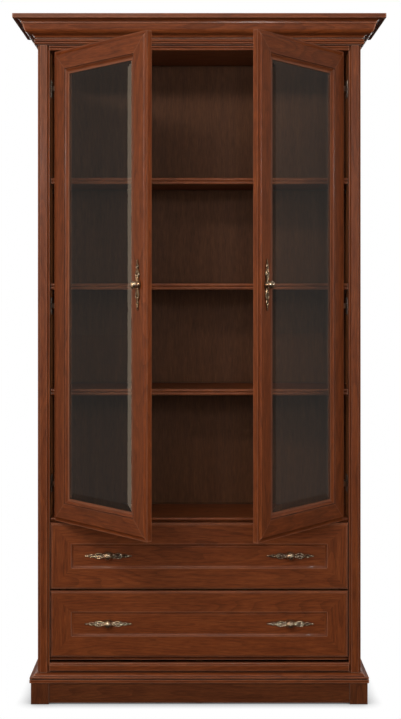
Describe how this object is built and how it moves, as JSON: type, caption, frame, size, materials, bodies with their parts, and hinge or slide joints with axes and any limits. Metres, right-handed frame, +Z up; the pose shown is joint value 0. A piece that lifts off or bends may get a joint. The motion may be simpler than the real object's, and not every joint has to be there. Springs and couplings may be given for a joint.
{
  "type": "bookcase with glass doors",
  "caption": "Tall bookcase with bevelled glass doors over wide drawers, moulded cornice and plinth, adjustable shelves inside.",
  "frame": {"origin": "on the floor, midway between the sides, under the plane of the closed doors, drawer fronts and corner posts", "axes": "+Z up, +Y to the back of the case, +X to the right as seen from the front"},
  "size_m": [1.115, 0.6306, 2.075],
  "materials": {
    "cherry_foil": "antique cherry wood-grain foil, satin lacquer",
    "interior_cherry": "antique cherry wood-grain laminate, satin",
    "drawer_board": "foil-wrapped drawer board, matt",
    "hardboard": "printed thin fibreboard, matt",
    "bevelled_glass": "clear float glass, wide polished bevel",
    "antique_brass": "antique brass, darkened in the recesses",
    "nickelled_steel": "bright nickel plate",
    "zinc_plated_steel": "bright zinc plate"
  },
  "bodies": {
    "case": {"back_panel": "hardboard", "base_frame_front": "cherry_foil", "base_frame_left": "cherry_foil", "base_frame_right": "cherry_foil", "bottom_board": "interior_cherry", "bottom_rail": "cherry_foil", "cornice_front": "cherry_foil", "cornice_left": "cherry_foil", "cornice_right": "cherry_foil", "crown_board": "cherry_foil", "floor_board": "interior_cherry", "hinge_arms": "nickelled_steel", "packers": "interior_cherry", "plinth_block_left": "cherry_foil", "plinth_block_right": "cherry_foil", "plinth_cross_brace": "cherry_foil", "plinth_front": "cherry_foil", "plinth_left": "cherry_foil", "plinth_rear": "cherry_foil", "plinth_right": "cherry_foil", "post_left": "cherry_foil", "post_right": "cherry_foil", "runner_rails": "zinc_plated_steel", "shelf_lower": "interior_cherry", "shelf_middle": "interior_cherry", "shelf_supports": "nickelled_steel", "shelf_upper": "interior_cherry", "side_panel_left": "cherry_foil", "side_panel_right": "cherry_foil", "top_board": "interior_cherry"},
    "left_door": {"left_door_glass": "bevelled_glass", "left_door_glazing_beads": "cherry_foil", "left_door_handle_knob": "antique_brass", "left_door_handle_plate": "antique_brass", "left_door_hinge_cups": "nickelled_steel", "left_door_rail_bottom": "cherry_foil", "left_door_rail_top": "cherry_foil", "left_door_stile_free": "cherry_foil", "left_door_stile_hinge": "cherry_foil"},
    "lower_drawer": {"lower_drawer_bottom": "hardboard", "lower_drawer_box": "drawer_board", "lower_drawer_front": "cherry_foil", "lower_drawer_handle_knobs": "antique_brass", "lower_drawer_handle_plates": "antique_brass", "lower_drawer_runners": "zinc_plated_steel"},
    "right_door": {"right_door_glass": "bevelled_glass", "right_door_glazing_beads": "cherry_foil", "right_door_handle_knob": "antique_brass", "right_door_handle_plate": "antique_brass", "right_door_hinge_cups": "nickelled_steel", "right_door_rail_bottom": "cherry_foil", "right_door_rail_top": "cherry_foil", "right_door_stile_free": "cherry_foil", "right_door_stile_hinge": "cherry_foil"},
    "upper_drawer": {"upper_drawer_bottom": "hardboard", "upper_drawer_box": "drawer_board", "upper_drawer_front": "cherry_foil", "upper_drawer_handle_knobs": "antique_brass", "upper_drawer_handle_plates": "antique_brass", "upper_drawer_runners": "zinc_plated_steel"}
  },
  "joints": [
    {"name": "left_door_hinge", "type": "hinge", "parent": "case", "child": "left_door", "pos_m": [-0.4435, -0.008, 1.2615], "axis": [0, 0, -1], "range_deg": [-49, 56]},
    {"name": "right_door_hinge", "type": "hinge", "parent": "case", "child": "right_door", "pos_m": [0.4435, -0.008, 1.2615], "axis": [0, 0, 1], "range_deg": [-52, 53]},
    {"name": "upper_drawer_slide", "type": "slide", "parent": "case", "child": "upper_drawer", "axis": [0, -1, 0], "range_m": [0, 0.19]},
    {"name": "lower_drawer_slide", "type": "slide", "parent": "case", "child": "lower_drawer", "axis": [0, -1, 0], "range_m": [0, 0.19]}
  ]
}
